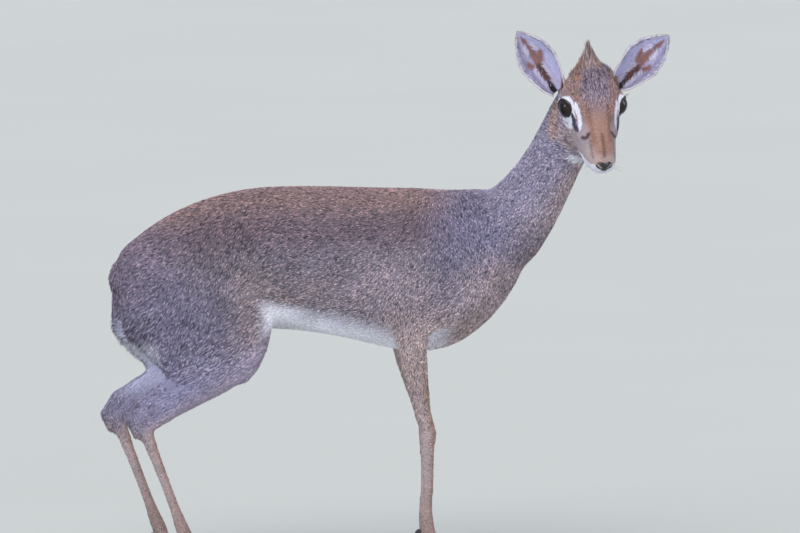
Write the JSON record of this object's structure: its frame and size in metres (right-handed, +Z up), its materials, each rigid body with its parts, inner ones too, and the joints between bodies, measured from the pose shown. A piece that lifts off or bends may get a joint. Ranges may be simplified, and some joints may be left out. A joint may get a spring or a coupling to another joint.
{
  "type": "dik-dik",
  "caption": "Life-size still model of a small female antelope standing on its cloven hooves, its head turned to its right side and its short crest raised.",
  "frame": {"origin": "on the floor, under the middle of the whole model's box", "axes": "+X from the rump towards the chest, +Y towards the animal's left side, +Z up"},
  "size_m": [0.5904, 0.19, 0.573],
  "materials": {
    "body_coat": "grizzled fur",
    "face_coat": "short fur",
    "leg_coat": "short fur",
    "ear_coat": "short fur on thin skin",
    "eye": "wet gloss",
    "nose_leather": "moist bare skin",
    "horn": "worn hoof horn"
  },
  "bodies": {
    "root": {"dewclaw_fore_left_inner": "horn", "dewclaw_fore_left_outer": "horn", "dewclaw_fore_right_inner": "horn", "dewclaw_fore_right_outer": "horn", "dewclaw_hind_left_inner": "horn", "dewclaw_hind_left_outer": "horn", "dewclaw_hind_right_inner": "horn", "dewclaw_hind_right_outer": "horn", "ear_left": "ear_coat", "ear_right": "ear_coat", "eye_left": "eye", "eye_right": "eye", "fore_foot_left": "leg_coat", "fore_foot_right": "leg_coat", "forearm_left": "leg_coat", "forearm_right": "leg_coat", "head": "face_coat", "hind_foot_left": "leg_coat", "hind_foot_right": "leg_coat", "hoof_fore_left_inner": "horn", "hoof_fore_left_outer": "horn", "hoof_fore_right_inner": "horn", "hoof_fore_right_outer": "horn", "hoof_hind_left_inner": "horn", "hoof_hind_left_outer": "horn", "hoof_hind_right_inner": "horn", "hoof_hind_right_outer": "horn", "neck": "body_coat", "nose": "nose_leather", "shank_left": "body_coat", "shank_right": "body_coat", "tail": "body_coat", "thigh_left": "body_coat", "thigh_right": "body_coat", "torso": "body_coat"}
  },
  "joints": []
}
